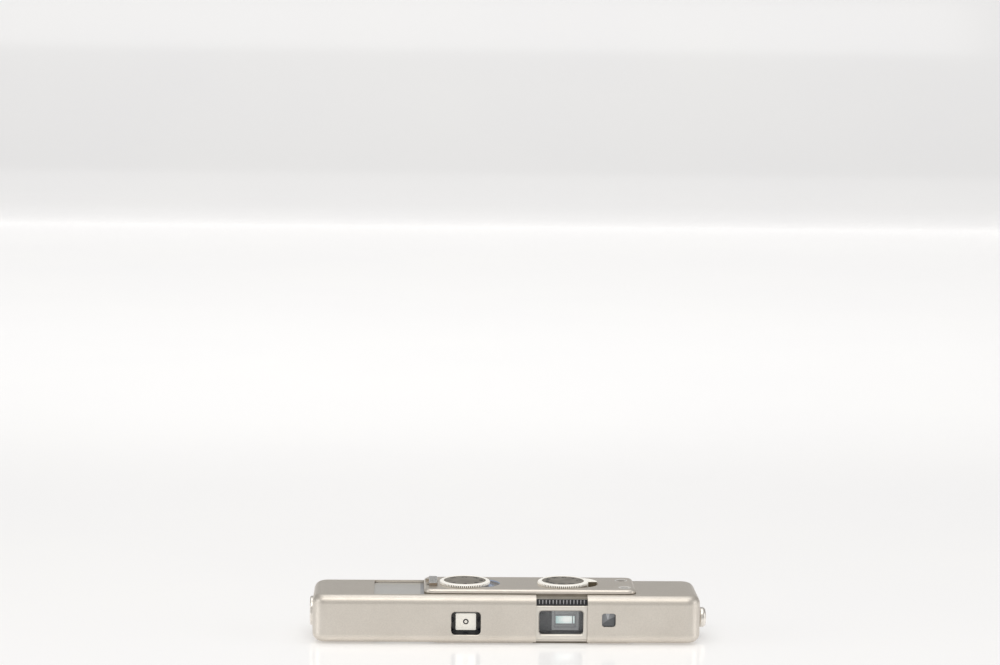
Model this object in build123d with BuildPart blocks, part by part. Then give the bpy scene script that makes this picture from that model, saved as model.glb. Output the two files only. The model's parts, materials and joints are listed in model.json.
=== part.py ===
"""A pull-open subminiature camera, lying on its wide bottom face with the sleeve drawn out.

Frame: millimetres, +X along the body towards the chain stud, -Y towards the subject, +Z up.
The origin is at the middle of the box round the open camera, on the surface that it rests on.
"""

from build123d import *
import math
import os

os.makedirs("parts", exist_ok=True)

# ---------------------------------------------------------------- driving dimensions
BODY_LEFT = -63.1
BODY_RIGHT = 61.3
HALF_DEPTH = 14.0
BODY_Z0 = 0.5
BODY_Z1 = 15.95
EDGE_R = 2.8
CORNER_R = 4.5
WALL = 0.65
INNER_EDGE_R = EDGE_R - WALL
INNER_CORNER_R = CORNER_R - 0.8
END_WALL = 0.9
TRAVEL = 16.0
SLEEVE_RIGHT = 8.5
CAP_LEFT = 24.95

SLOT_LEFT = -43.5
SLOT_HALF = 10.8
PLATE_LEFT = -27.35
PLATE_RIGHT = 40.7
PLATE_HALF = 10.5
PLATE_TOP = 17.4
PLATE_CORNER_R = 2.8
BASE_RIGHT = 40.0

COVER_TOP = 15.2
COVER_BOTTOM = 14.5
FLOOR_TOP = 1.9
FLOOR_BOTTOM = 1.26
COVER_HALF = 11.3
FRAME_LEFT = -45.2
COVER_LEFT = FRAME_LEFT + 1.3
COVER_RIGHT = 58.6
FRAME_RIGHT = 59.6
FRAME_HALF = 12.9
FRAME_WALL = 0.9
BAY_HALF = FRAME_HALF - FRAME_WALL
BAY_RIGHT = 8.2
BAY_Z0 = 2.5

DIAL_R = 8.2
DIAL_FACE_R = 6.9
DIAL_Z0 = 17.45
DIAL_Z1 = 18.45
SHAFT_R = 1.0
RUNNING = 0.05
FOCUS_X = -14.2
SPEED_X = 17.6
CRESCENT_OFFSET = 4.6
CRESCENT_R = 6.8
CRESCENT_HOLE_R = 7.7

LENS_X = -13.95
LENS_Z = 6.95
HOOD_REAR = -10.5
LEAF_Y = -10.3
LEAF_STUD_Z = 6.93
BARREL_R = 3.2
GLASS_R = 2.4
FINDER_X = 16.6
FINDER_Z = 7.1
FINDER_LEFT = 7.6
FINDER_RIGHT = 25.5
FINDER_BOTTOM = 1.6
FINDER_TOP = 12.75
FINDER_OUT = 12.6
FINDER_SEAT = 11.4
STRIP_TOP = 14.8
RIB_PITCH = 1.096
RIB_WIDTH = 0.55
RIB_COUNT = 16
METER_X = 31.75
METER_Z = 8.33
DISC_Z = 8.1
STUD_Z = 6.5
STUD_R = 3.25
STUD_NECK_R = 2.3
DISH_R = 1.75
CHECK_X = 37.2
CHECK_Y = -6.0
LED_X = 36.8
LED_Y = 5.0
COUNTER_R = 9.6
SLIDER_X = -24.49
SLIDER_HALF = 1.35
SLIDER_FRONT = -4.5
SLIDER_REAR = 6.0
SLIDER_TRAVEL = 1.0
LEVER_Y = -0.2
PARKED_X = LENS_X - 6.2
KNURLS = 80
SCREW_R = 0.75
SCREW_HEAD_R = 1.4
SCREW_SEAT = 0.65
SCREWS = [(x, y) for x in (-18.0, 33.0) for y in (-8.0, 8.0)]

MODULE = 0.4
PINION_TEETH = 12
PINION_X = -38.0
PINION_Y = 9.8
BATTERY_LEFT = 38.9
BATTERY_RIGHT = 58.0
BATTERY_R = 5.75
BATTERY_Z = 7.7
FILM_Y = 8.2
CHAMBER_R = 6.0
CHAMBER_Y = 4.6
TAKE_UP_X = -29.45
SUPPLY_X = 1.55
SPOOL_R = 3.45
CASSETTE_Z0 = 2.55
CASSETTE_Z1 = 12.2

# ---------------------------------------------------------------- gear layout
TAKE_UP_TEETH = 14
IDLER_TEETH = 16
DRIVER_TEETH = 8
to_idler = MODULE * (DRIVER_TEETH + IDLER_TEETH) / 2
to_spool = MODULE * (IDLER_TEETH + TAKE_UP_TEETH) / 2
span_x = TAKE_UP_X - PINION_X
span_y = CHAMBER_Y - PINION_Y
span = math.hypot(span_x, span_y)
along = (to_idler**2 - to_spool**2 + span**2) / (2 * span)
aside = math.sqrt(to_idler**2 - along**2)
IDLER_X = PINION_X + (along * span_x + aside * span_y) / span
IDLER_Y = PINION_Y + (along * span_y - aside * span_x) / span
driver_turn = math.degrees(math.atan2(IDLER_Y - PINION_Y, IDLER_X - PINION_X))
idler_phase = driver_turn + 180 + 180 / IDLER_TEETH
idler_turn = math.degrees(math.atan2(CHAMBER_Y - IDLER_Y, TAKE_UP_X - IDLER_X))
lag = (idler_turn - idler_phase) % (360 / IDLER_TEETH)
take_up_phase = idler_turn + 180 + 180 / TAKE_UP_TEETH + lag * IDLER_TEETH / TAKE_UP_TEETH

BOTTOM = (Align.CENTER, Align.CENTER, Align.MIN)
LOW = (Align.MIN, Align.MIN, Align.MIN)


# ---------------------------------------------------------------- shape helpers
def block(x0, x1, y0, y1, z0, z1, mode=Mode.ADD):
    """A box between two corners."""
    with Locations((x0, y0, z0)):
        Box(x1 - x0, y1 - y0, z1 - z0, align=LOW, mode=mode)


def post(x, y, z0, z1, r, mode=Mode.ADD):
    """A round bar along Z."""
    with Locations((x, y, z0)):
        Cylinder(r, z1 - z0, align=BOTTOM, mode=mode)


def bar_y(x, z, y0, y1, r, mode=Mode.ADD):
    """A round bar along Y."""
    with Locations(Plane(origin=(x, y0, z), x_dir=(1, 0, 0), z_dir=(0, 1, 0))):
        Cylinder(r, y1 - y0, align=BOTTOM, mode=mode)


def bar_x(y, z, x0, x1, r, mode=Mode.ADD):
    """A round bar along X."""
    with Locations(Plane(origin=(x0, y, z), x_dir=(0, 1, 0), z_dir=(1, 0, 0))):
        Cylinder(r, x1 - x0, align=BOTTOM, mode=mode)


def rounded_slab(x0, x1, y0, y1, z0, z1, r, mode=Mode.ADD):
    """A slab with four rounded corners in plan."""
    with BuildSketch(Plane.XY.offset(z0)) as plan:
        with Locations(((x0 + x1) / 2, (y0 + y1) / 2)):
            RectangleRounded(x1 - x0, y1 - y0, r)
    extrude(plan.sketch, amount=z1 - z0, mode=mode)


def window_y(x, z, width, height, r, y0, y1, mode=Mode.SUBTRACT):
    """A rounded rectangle extruded along Y, for a window or what fills one."""
    plane = Plane(origin=(x, y0, z), x_dir=(1, 0, 0), z_dir=(0, -1, 0))
    with BuildSketch(plane) as outline:
        RectangleRounded(width, height, r)
    extrude(outline.sketch, amount=-(y1 - y0), mode=mode)


def half_shell(x0, x1, end_x, edge_r, corner_r, grow):
    """The rounded body section from x0 to x1; the corners are rounded at end_x only."""
    block(x0, x1, -HALF_DEPTH - grow, HALF_DEPTH + grow, BODY_Z0 - grow, BODY_Z1 + grow)
    solid = edges(Select.LAST)
    upright = solid.filter_by(Axis.Z).filter_by_position(Axis.X, end_x - 0.01, end_x + 0.01)
    fillet(upright, corner_r)
    rims = edges().filter_by(
        lambda e: abs(e.center().Z - (BODY_Z0 - grow)) < 0.01 or abs(e.center().Z - (BODY_Z1 + grow)) < 0.01
    )
    open_x = x1 if end_x == x0 else x0
    rims = rims.filter_by(lambda e: abs(e.center().X - open_x) > 0.01)
    fillet(rims, edge_r)


def gear(x, y, z0, z1, teeth, phase, bore_r):
    """A spur gear with straight-sided teeth; phase is a tooth's direction in degrees."""
    pitch_r = MODULE * teeth / 2
    root_r = pitch_r - 0.42
    tip_r = pitch_r + 0.3
    half = 90.0 / teeth
    with BuildSketch(Plane.XY.offset(z0)) as outline:
        with Locations((x, y)):
            Circle(root_r)
        for index in range(teeth):
            turn = phase + 360.0 * index / teeth
            corners = [
                (root_r - 0.1, turn - 1.15 * half),
                (pitch_r, turn - 0.78 * half),
                (tip_r, turn - 0.38 * half),
                (tip_r, turn + 0.38 * half),
                (pitch_r, turn + 0.78 * half),
                (root_r - 0.1, turn + 1.15 * half),
            ]
            points = [
                (x + r * math.cos(math.radians(a)), y + r * math.sin(math.radians(a)))
                for r, a in corners
            ]
            with BuildLine():
                Polyline(*points, close=True)
            make_face()
        with Locations((x, y)):
            Circle(bore_r, mode=Mode.SUBTRACT)
    extrude(outline.sketch, amount=z1 - z0)


def keep(piece, name):
    """Label one finished piece and write it."""
    piece.part.label = name
    export_step(piece.part, f"parts/{name}.step")


# ---------------------------------------------------------------- sliding sleeve
with BuildPart() as sleeve_hollow:
    inner_left = BODY_LEFT + END_WALL
    half_shell(inner_left, SLEEVE_RIGHT + 5, inner_left, INNER_EDGE_R, INNER_CORNER_R, -WALL)

with BuildPart() as sleeve_shell:
    half_shell(BODY_LEFT, SLEEVE_RIGHT, BODY_LEFT, EDGE_R, CORNER_R, 0)
    add(sleeve_hollow.part, mode=Mode.SUBTRACT)
    block(SLOT_LEFT, SLEEVE_RIGHT + 5, -SLOT_HALF, SLOT_HALF, -2, 20, mode=Mode.SUBTRACT)
    window_y(LENS_X, 7.03, 9.46, 7.45, 1.3, -HALF_DEPTH - 1, -HALF_DEPTH + 2)
    mouth = edges().filter_by(
        lambda e: abs(e.center().Y + HALF_DEPTH) < 0.01
        and abs(e.center().X - LENS_X) < 6
        and 2.5 < e.center().Z < 11.5
    )
    chamfer(mouth, 0.22)
    bar_x(0, DISC_Z, BODY_LEFT - 1, BODY_LEFT + 2, 1.6, mode=Mode.SUBTRACT)
keep(sleeve_shell, "sleeve_shell")

with BuildPart() as end_disc:
    bar_x(0, DISC_Z, BODY_LEFT - 1.05, BODY_LEFT, 4.75)
    fillet(edges().filter_by(GeomType.CIRCLE).group_by(Axis.X)[0], 0.4)
    bar_x(0, DISC_Z, BODY_LEFT, BODY_LEFT + 1.4, 1.55)
keep(end_disc, "end_disc")

# the rack on the sleeve's rear wall turns the film transport
RACK_PITCH = math.pi * MODULE
RACK_LINE = PINION_Y + MODULE * PINION_TEETH / 2
with BuildPart() as sleeve_rack:
    block(-56.0, -35.4, RACK_LINE + 0.42, HALF_DEPTH - WALL, 6.0, 7.6)
    for step in range(-14, 3):
        tooth_x = PINION_X + step * RACK_PITCH
        with BuildSketch(Plane.XY.offset(6.0)) as tooth:
            with BuildLine():
                Polyline(
                    (tooth_x - 0.42, RACK_LINE + 0.5),
                    (tooth_x - 0.24, RACK_LINE),
                    (tooth_x - 0.12, RACK_LINE - 0.3),
                    (tooth_x + 0.12, RACK_LINE - 0.3),
                    (tooth_x + 0.24, RACK_LINE),
                    (tooth_x + 0.42, RACK_LINE + 0.5),
                    close=True,
                )
            make_face()
        extrude(tooth.sketch, amount=1.6)
keep(sleeve_rack, "sleeve_rack")

# ---------------------------------------------------------------- fixed end of the body
with BuildPart() as cap_hollow:
    inner_right = BODY_RIGHT - END_WALL
    half_shell(CAP_LEFT - 5, inner_right, inner_right, INNER_EDGE_R, INNER_CORNER_R, -WALL)

with BuildPart() as end_cap:
    half_shell(CAP_LEFT, BODY_RIGHT, BODY_RIGHT, EDGE_R, CORNER_R, 0)
    add(cap_hollow.part, mode=Mode.SUBTRACT)
    rounded_slab(
        CAP_LEFT - 8, PLATE_RIGHT + 0.15, -PLATE_HALF - 0.15, PLATE_HALF + 0.15, 10, 20, PLATE_CORNER_R,
        mode=Mode.SUBTRACT,
    )
    rounded_slab(
        CAP_LEFT - 8, BASE_RIGHT + 0.15, -PLATE_HALF - 0.15, PLATE_HALF + 0.15, -2, 5, PLATE_CORNER_R,
        mode=Mode.SUBTRACT,
    )
    window_y(METER_X, METER_Z, 4.42, 4.4, 0.85, -HALF_DEPTH - 1, -HALF_DEPTH + 2)
    bar_x(0, STUD_Z, BODY_RIGHT - 2, BODY_RIGHT + 1, 1.3, mode=Mode.SUBTRACT)
keep(end_cap, "end_cap")

with BuildPart() as chain_stud:
    bar_x(0, STUD_Z, BODY_RIGHT - 0.9, BODY_RIGHT, 1.25)
    bar_x(0, STUD_Z, BODY_RIGHT, BODY_RIGHT + 0.8, STUD_NECK_R)
    bar_x(0, STUD_Z, BODY_RIGHT + 0.8, BODY_RIGHT + 2.85, STUD_R)
    stud_ends = edges().filter_by(GeomType.CIRCLE).filter_by(lambda e: abs(e.radius - STUD_R) < 0.01)
    fillet(stud_ends.sort_by(Axis.X)[-1], 1.2)
    stud_ends = edges().filter_by(GeomType.CIRCLE).filter_by(lambda e: abs(e.radius - STUD_R) < 0.01)
    fillet(stud_ends.sort_by(Axis.X)[0], 0.4)
keep(chain_stud, "chain_stud")

# ---------------------------------------------------------------- inner frame and its covers
with BuildPart() as chassis_frame:
    block(FRAME_LEFT, FRAME_RIGHT, -FRAME_HALF, FRAME_HALF, FLOOR_TOP, COVER_BOTTOM)
    fillet(edges().filter_by(Axis.X), 1.0)
    fillet(edges().filter_by(Axis.Z), INNER_CORNER_R)
    # mechanism and film bay
    rounded_slab(
        FRAME_LEFT + FRAME_WALL, BAY_RIGHT, -BAY_HALF, BAY_HALF, BAY_Z0, 20,
        INNER_CORNER_R - FRAME_WALL, mode=Mode.SUBTRACT,
    )
    block(FRAME_LEFT - 1, 6.0, BAY_HALF - 1, 20, 5.6, 8.0, mode=Mode.SUBTRACT)
    window_y(LENS_X, 7.05, 11.3, 8.9, 0.5, -20, -BAY_HALF + 1)
    # finder tunnel, with the seats of its front and rear frames
    window_y(FINDER_X, FINDER_Z, 14.8, 8.2, 0.8, -20, 20)
    block(FINDER_LEFT - 0.2, FINDER_RIGHT + 0.2, -20, -FINDER_SEAT, 0, 20, mode=Mode.SUBTRACT)
    block(FINDER_LEFT - 0.2, FINDER_RIGHT + 0.2, FINDER_SEAT, 20, 0, 20, mode=Mode.SUBTRACT)
    # speed train well
    block(12.0, 23.2, -5.6, 5.6, 11.9, 20, mode=Mode.SUBTRACT)
    # meter and release well
    block(26.6, 36.6, -BAY_HALF, BAY_HALF, BAY_Z0, 20, mode=Mode.SUBTRACT)
    window_y(METER_X, METER_Z, 6.0, 6.0, 0.4, -20, -BAY_HALF + 1)
    for screw_x, screw_y in SCREWS:
        post(screw_x, screw_y, 0, BAY_Z0 + 0.1, SCREW_R, mode=Mode.SUBTRACT)
    # battery bay, open below
    block(37.6, 59.2, -6.9, 6.9, 0, 20, mode=Mode.SUBTRACT)
keep(chassis_frame, "chassis_frame")


def cover_slab(z0, z1):
    """A flat cover, rounded more at the end that the sleeve closes over."""
    block(COVER_LEFT, COVER_RIGHT, -COVER_HALF, COVER_HALF, z0, z1)
    fillet(edges().filter_by(Axis.Z).group_by(Axis.X)[0], 3.4)
    fillet(edges().filter_by(Axis.Z).group_by(Axis.X)[-1], 1.5)


with BuildPart() as inner_cover:
    cover_slab(COVER_BOTTOM, COVER_TOP)
    post(FOCUS_X, 0, 10, 20, SHAFT_R + RUNNING, mode=Mode.SUBTRACT)
    post(SPEED_X, 0, 10, 20, SHAFT_R + RUNNING, mode=Mode.SUBTRACT)
    block(-27.4, -23.4, 0.2, 2.2, 10, 20, mode=Mode.SUBTRACT)
    block(25.6, 30.6, -2.4, 4.8, 10, 20, mode=Mode.SUBTRACT)
    post(CHECK_X, CHECK_Y, 10, 20, 1.2, mode=Mode.SUBTRACT)
    # studs on its underside for the filter lever and the idler gear
    post(SLIDER_X, LEVER_Y, 12.1, COVER_BOTTOM, 0.5)
    post(SLIDER_X, LEVER_Y, 12.85, COVER_BOTTOM, 0.9)
    post(IDLER_X, IDLER_Y, 12.4, COVER_BOTTOM, 0.6)
    post(IDLER_X, IDLER_Y, 13.9, COVER_BOTTOM, 1.1)
keep(inner_cover, "inner_cover")

with BuildPart() as floor_cover:
    cover_slab(FLOOR_BOTTOM, FLOOR_TOP)
    for screw_x, screw_y in SCREWS:
        post(screw_x, screw_y, 0, 20, SCREW_R + RUNNING, mode=Mode.SUBTRACT)
keep(floor_cover, "floor_cover")


def crescent(dial_x, outer_r, inner_r, z0, z1, mode=Mode.ADD):
    """The moon shape between a dial's rim and the wider circle beside it."""
    with BuildSketch(Plane.XY.offset(z0)) as moon:
        with Locations((dial_x + CRESCENT_OFFSET, 0)):
            Circle(outer_r)
        with Locations((dial_x, 0)):
            Circle(inner_r, mode=Mode.SUBTRACT)
    extrude(moon.sketch, amount=z1 - z0, mode=mode)


with BuildPart() as top_plate:
    rounded_slab(PLATE_LEFT, PLATE_RIGHT, -PLATE_HALF, PLATE_HALF, COVER_TOP, PLATE_TOP, PLATE_CORNER_R)
    fillet(edges().group_by(Axis.Z)[-1], 0.9)
    post(FOCUS_X, 0, COVER_TOP, PLATE_TOP + 1, SHAFT_R + RUNNING, mode=Mode.SUBTRACT)
    post(SPEED_X, 0, COVER_TOP, PLATE_TOP + 1, SHAFT_R + RUNNING, mode=Mode.SUBTRACT)
    # raceway of the frame counter, and the windows over it and over the release
    post(FOCUS_X, 0, COVER_TOP, COVER_TOP + 1.2, COUNTER_R + 0.1, mode=Mode.SUBTRACT)
    post(FOCUS_X, 0, COVER_TOP, COVER_TOP + 1.2, 3.0)
    post(FOCUS_X, 0, COVER_TOP, PLATE_TOP + 1, SHAFT_R + RUNNING, mode=Mode.SUBTRACT)
    crescent(FOCUS_X, CRESCENT_R, CRESCENT_HOLE_R, COVER_TOP + 1.2, PLATE_TOP + 1, Mode.SUBTRACT)
    crescent(SPEED_X, CRESCENT_R, CRESCENT_HOLE_R, COVER_TOP, PLATE_TOP + 1, Mode.SUBTRACT)
    # slider groove, with a slit for the slider's stem
    block(
        SLIDER_X - SLIDER_HALF - SLIDER_TRAVEL - 0.06, SLIDER_X + SLIDER_HALF + 0.09,
        SLIDER_FRONT - 0.2, SLIDER_REAR + 0.2, COVER_TOP + 1.4, PLATE_TOP + 1, mode=Mode.SUBTRACT,
    )
    block(SLIDER_X - 1.9, SLIDER_X + 0.3, 0.4, 2.0, COVER_TOP, PLATE_TOP, mode=Mode.SUBTRACT)
    for dish_x, dish_y in ((CHECK_X, CHECK_Y), (LED_X, LED_Y)):
        post(dish_x, dish_y, COVER_TOP + 0.5, PLATE_TOP + 1, DISH_R, mode=Mode.SUBTRACT)
        post(dish_x, dish_y, COVER_TOP, PLATE_TOP, 1.0, mode=Mode.SUBTRACT)
keep(top_plate, "top_plate")

with BuildPart() as bottom_plate:
    rounded_slab(PLATE_LEFT + 2.2, BASE_RIGHT, -PLATE_HALF, PLATE_HALF, 0, FLOOR_BOTTOM, PLATE_CORNER_R)
    fillet(edges().group_by(Axis.Z)[0], 0.35)
    for screw_x, screw_y in SCREWS:
        post(screw_x, screw_y, 0, 20, SCREW_R + RUNNING, mode=Mode.SUBTRACT)
        post(screw_x, screw_y, 0, SCREW_SEAT, SCREW_HEAD_R + 0.1, mode=Mode.SUBTRACT)
keep(bottom_plate, "bottom_plate")

with BuildPart() as plate_screws:
    for screw_x, screw_y in SCREWS:
        post(screw_x, screw_y, 0.12, SCREW_SEAT, SCREW_HEAD_R)
        post(screw_x, screw_y, SCREW_SEAT, BAY_Z0 - 0.05, SCREW_R)
        block(screw_x - 1.5, screw_x + 1.5, screw_y - 0.15, screw_y + 0.15, 0, 0.35, mode=Mode.SUBTRACT)
keep(plate_screws, "plate_screws")


# ---------------------------------------------------------------- dials and their spindles
def dial(x):
    """A low dial: knurled rim, coned shoulder and a sunk number face."""
    with BuildSketch(Plane.XZ) as section:
        with BuildLine():
            Polyline(
                (x + SHAFT_R, DIAL_Z0),
                (x + DIAL_R, DIAL_Z0),
                (x + DIAL_R, DIAL_Z0 + 0.7),
                (x + DIAL_FACE_R + 0.15, DIAL_Z1),
                (x + DIAL_FACE_R - 0.1, DIAL_Z1),
                (x + DIAL_FACE_R - 0.1, DIAL_Z1 - 0.18),
                (x + SHAFT_R, DIAL_Z1 - 0.18),
                close=True,
            )
        make_face()
    revolve(section.sketch, axis=Axis((x, 0, 0), (0, 0, 1)))
    with Locations((x, 0, DIAL_Z0)):
        with PolarLocations(DIAL_R + 0.12, KNURLS):
            Cylinder(0.22, 0.6, align=BOTTOM, mode=Mode.SUBTRACT)


def spindle(x, z0):
    """The dial's spindle, down through the plate and cover."""
    post(x, 0, z0, DIAL_Z1 - 0.18, SHAFT_R)


with BuildPart() as focus_dial:
    dial(FOCUS_X)
keep(focus_dial, "focus_dial")

with BuildPart() as focus_spindle:
    spindle(FOCUS_X, 11.9)
keep(focus_spindle, "focus_spindle")

with BuildPart() as focus_cam:
    post(FOCUS_X + 0.35, 0, 11.9, 12.7, 1.75)
    post(FOCUS_X, 0, 11.9, 13.4, 1.35)
    post(FOCUS_X, 0, 11, 14, SHAFT_R, mode=Mode.SUBTRACT)
keep(focus_cam, "focus_cam")

with BuildPart() as speed_dial:
    dial(SPEED_X)
keep(speed_dial, "speed_dial")

with BuildPart() as speed_spindle:
    spindle(SPEED_X, 12.1)
keep(speed_spindle, "speed_spindle")

with BuildPart() as speed_cam:
    post(SPEED_X, 0, 12.3, 13.1, 4.4)
    with Locations((SPEED_X, 0, 12.3)):
        with PolarLocations(4.6, 12):
            Cylinder(0.55, 0.8, align=BOTTOM, mode=Mode.SUBTRACT)
    post(SPEED_X, 0, 12.3, 13.8, 2.0)
    post(SPEED_X, 0, 12, 14, SHAFT_R, mode=Mode.SUBTRACT)
keep(speed_cam, "speed_cam")

with BuildPart() as counter_ring:
    post(FOCUS_X, 0, COVER_TOP + 0.1, COVER_TOP + 1.0, COUNTER_R)
    post(FOCUS_X, 0, COVER_TOP, COVER_TOP + 1.2, 3.0 + RUNNING, mode=Mode.SUBTRACT)
keep(counter_ring, "counter_ring")

with BuildPart() as counter_window:
    crescent(FOCUS_X, CRESCENT_R, CRESCENT_HOLE_R, COVER_TOP + 1.35, COVER_TOP + 1.75)
keep(counter_window, "counter_window")

# ---------------------------------------------------------------- slider, release and battery test
with BuildPart() as filter_slider:
    block(
        SLIDER_X - SLIDER_HALF, SLIDER_X + SLIDER_HALF, SLIDER_FRONT, SLIDER_REAR, COVER_TOP + 1.5, DIAL_Z1
    )
    chamfer(edges().group_by(Axis.Z)[-1].filter_by(Axis.X), 0.5)
    fillet(edges().group_by(Axis.Z)[-1].filter_by(Axis.Y), 0.3)
    block(SLIDER_X - 0.7, SLIDER_X + 0.1, 0.8, 1.6, 12.95, COVER_TOP + 1.5)
keep(filter_slider, "filter_slider")

with BuildPart() as filter_lever:
    block(SLIDER_X - 0.8, SLIDER_X + 0.8, -8.4, 2.6, 12.2, 12.8)
    fillet(edges().filter_by(Axis.Z), 0.75)
    post(SLIDER_X, LEVER_Y, 11, 14, 0.5 + RUNNING, mode=Mode.SUBTRACT)
keep(filter_lever, "filter_lever")

with BuildPart() as filter_blade:
    block(PARKED_X - 3.2, PARKED_X + 3.2, -9.35, -9.0, 3.75, 10.15)
    fillet(edges().filter_by(Axis.Y), 1.5)
    block(PARKED_X - 2.6, PARKED_X - 1.0, -9.35, -9.0, 10.0, 12.1)
    bar_y(PARKED_X, LENS_Z, -10, -8, 2.6, mode=Mode.SUBTRACT)
keep(filter_blade, "filter_blade")

with BuildPart() as filter_glass:
    bar_y(PARKED_X, LENS_Z, -9.35, -9.0, 2.6)
keep(filter_glass, "filter_glass")

with BuildPart() as release_button:
    crescent(SPEED_X, CRESCENT_R - 0.12, DIAL_R + 0.15, COVER_TOP + 0.75, 17.95)
    block(20, 40, -10, 1.2, 15, 19, mode=Mode.SUBTRACT)
    fillet(edges().group_by(Axis.Z)[-1], 0.25)
    block(26.8, 27.9, 1.4, 3.2, 12.6, COVER_TOP + 0.75)
keep(release_button, "release_button")

with BuildPart() as release_spring:
    block(27.0, 28.4, -1.4, 4.4, 10.6, 10.85)
    block(27.0, 28.4, 4.15, 4.4, 9.6, 10.85)
    block(27.0, 28.4, 4.15, 9.6, 9.6, 9.85)
keep(release_spring, "release_spring")

with BuildPart() as release_lever:
    block(27.1, 28.5, -0.6, 0.8, 5.0, 9.3)
    block(27.1, 35.8, -0.6, 0.8, 3.6, 5.0)
keep(release_lever, "release_lever")

with BuildPart() as check_button:
    post(CHECK_X, CHECK_Y, COVER_TOP + 1.0, PLATE_TOP - 0.15, DISH_R - 0.1)
    fillet(edges().group_by(Axis.Z)[-1], 0.25)
    post(CHECK_X, CHECK_Y, COVER_BOTTOM + 0.45, COVER_TOP + 1.0, 0.9)
keep(check_button, "check_button")

with BuildPart() as battery_lamp:
    post(LED_X, LED_Y, COVER_TOP, COVER_TOP + 0.8, 0.95)
    with Locations((LED_X, LED_Y, COVER_TOP + 0.8)):
        Sphere(0.95, arc_size1=0)
keep(battery_lamp, "battery_lamp")

# ---------------------------------------------------------------- lens and shutter
with BuildPart() as lens_hood:
    window_y(LENS_X, 7.05, 11.3, 8.9, 0.5, -FRAME_HALF, HOOD_REAR, mode=Mode.ADD)
    with BuildSketch(Plane(origin=(LENS_X, -FRAME_HALF, 7.03), x_dir=(1, 0, 0), z_dir=(0, -1, 0))):
        RectangleRounded(9.9, 7.9, 1.3)
    with BuildSketch(Plane(origin=(LENS_X, HOOD_REAR, LEAF_STUD_Z), x_dir=(1, 0, 0), z_dir=(0, -1, 0))):
        RectangleRounded(6.5, 5.4, 0.35)
    loft(mode=Mode.SUBTRACT)
keep(lens_hood, "lens_hood")


def shutter_leaf(x0, x1, y):
    """A thin leaf that slides along X, with a driving tab above it."""
    block(x0, x1, y, y + 0.2, 3.0, 11.1)
    fillet(edges().filter_by(Axis.Y), 0.6)
    block(x0 + 0.4, x0 + 1.8, y, y + 0.2, 11.0, 11.9)


with BuildPart() as opening_leaf:
    shutter_leaf(-18.6, -9.4, LEAF_Y)
    bar_y(LENS_X, LEAF_STUD_Z, LEAF_Y - 0.15, LEAF_Y + 0.2, 0.85)
keep(opening_leaf, "opening_leaf")

with BuildPart() as closing_leaf:
    shutter_leaf(-8.9, 0.3, -9.85)
keep(closing_leaf, "closing_leaf")

with BuildPart() as shutter_guide:
    block(-30.0, 2.0, -8.7, -8.2, BAY_Z0, 12.0)
    bar_y(LENS_X, LENS_Z, -9, -8, 3.0, mode=Mode.SUBTRACT)
    for rail_x in (-29.9, 1.2):
        block(rail_x, rail_x + 0.7, -BAY_HALF, -8.7, BAY_Z0, 12.0)
    with Locations((SLIDER_X, -8.45, 12.0)):
        Box(3.0, 0.5, 0.4, mode=Mode.SUBTRACT)
keep(shutter_guide, "shutter_guide")

with BuildPart() as lens_barrel:
    bar_y(LENS_X, LENS_Z, -7.6, -1.7, BARREL_R)
    bar_y(LENS_X, LENS_Z, -8, -1, GLASS_R, mode=Mode.SUBTRACT)
    post(LENS_X, -3.1, LENS_Z + 2.9, 12.4, 0.4)
keep(lens_barrel, "lens_barrel")


def lens_element(y0, y1, sag, r):
    """A round glass lens along Y, domed towards the front."""
    with BuildSketch(Plane(origin=(LENS_X, 0, LENS_Z), x_dir=(1, 0, 0), z_dir=(0, 0, 1))) as section:
        with BuildLine():
            ThreePointArc((0, y0), (r * 0.5, y0 + sag * 0.26), (r, y0 + sag))
            Line((r, y0 + sag), (r, y1))
            Line((r, y1), (0, y1))
            Line((0, y1), (0, y0))
        make_face()
    revolve(section.sketch, axis=Axis((LENS_X, 0, LENS_Z), (0, 1, 0)))


with BuildPart() as front_element:
    lens_element(-7.3, -5.6, 0.5, GLASS_R)
keep(front_element, "front_element")

with BuildPart() as rear_element:
    lens_element(-3.8, -2.3, 0.4, GLASS_R)
keep(rear_element, "rear_element")

with BuildPart() as lens_guide:
    block(-20.5, -7.4, -7.1, -4.3, BAY_Z0, 11.4)
    bar_y(LENS_X, LENS_Z, -8, -3, BARREL_R + RUNNING, mode=Mode.SUBTRACT)
keep(lens_guide, "lens_guide")

# ---------------------------------------------------------------- finder
with BuildPart() as finder_frame:
    block(FINDER_LEFT, FINDER_RIGHT, -FINDER_OUT, -FINDER_SEAT, FINDER_BOTTOM, FINDER_TOP)
    fillet(edges().filter_by(Axis.X).filter_by(lambda e: e.center().Y < -12), 0.75)
    window_y(FINDER_X, FINDER_Z, 14.17, 7.61, 1.0, -13, -11)
    mouth = edges().filter_by(
        lambda e: abs(e.center().Y + FINDER_OUT) < 0.01
        and abs(e.center().X - FINDER_X) < 7.6
        and abs(e.center().Z - FINDER_Z) < 4.5
    )
    chamfer(mouth, 0.33)
keep(finder_frame, "finder_frame")

with BuildPart() as finder_front_lens:
    window_y(FINDER_X, FINDER_Z, 14.7, 8.1, 0.8, -11.3, -10.1, mode=Mode.ADD)
keep(finder_front_lens, "finder_front_lens")

with BuildPart() as finder_mask:
    window_y(FINDER_X, FINDER_Z, 14.7, 8.1, 0.8, -5.4, -4.9, mode=Mode.ADD)
    window_y(18.5, FINDER_Z, 8.8, 6.8, 0.5, -6, -4)
keep(finder_mask, "finder_mask")

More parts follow.
